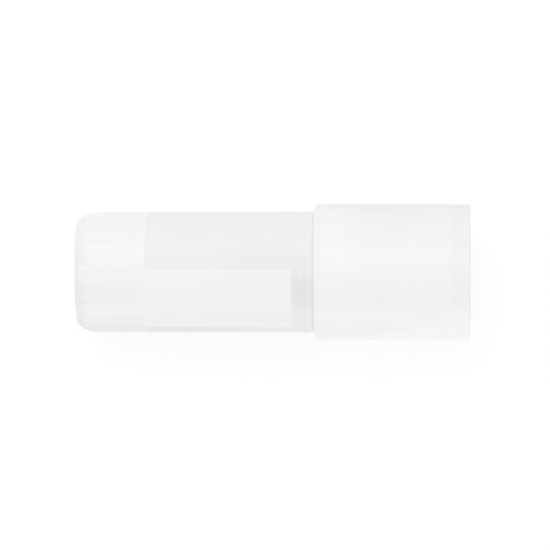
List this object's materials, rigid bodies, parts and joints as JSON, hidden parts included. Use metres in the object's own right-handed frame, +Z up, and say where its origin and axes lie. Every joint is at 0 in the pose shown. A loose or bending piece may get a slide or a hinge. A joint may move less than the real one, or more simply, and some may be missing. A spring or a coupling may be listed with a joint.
{
  "type": "cryogenic vial",
  "caption": "Self-standing cryogenic vial with an externally threaded neck, a tall smooth screw cap with a gasket, and a ribbed star foot.",
  "frame": {"origin": "centre of the face that the foot stands on", "axes": "+Z up along the vial, from the foot to the cap; the thread starts at -X, and one rib of the foot faces -Y"},
  "size_m": [0.0138, 0.0138, 0.0398],
  "materials": {
    "vial_polypropylene": "translucent, moulded, satin",
    "cap_polyethylene": "white, slightly translucent, moulded, satin",
    "seal_silicone": "translucent silicone, matte"
  },
  "bodies": {
    "vial": {"vial": "vial_polypropylene"},
    "seal": {"seal": "seal_silicone"},
    "cap": {"cap": "cap_polyethylene"}
  },
  "joints": [
    {"name": "cap_lift", "type": "slide", "parent": "vial", "child": "seal", "axis": [0, 0, 1], "range_m": [0, 0.0143]},
    {"name": "cap_turn", "type": "hinge", "parent": "seal", "child": "cap", "pos_m": [0, 0, 0.0379], "axis": [0, 0, 1], "range_deg": [0, 2340]}
  ],
  "couplings": [
    {"joint": "cap_turn", "follows": "cap_lift", "rad_per_m": 2856}
  ]
}
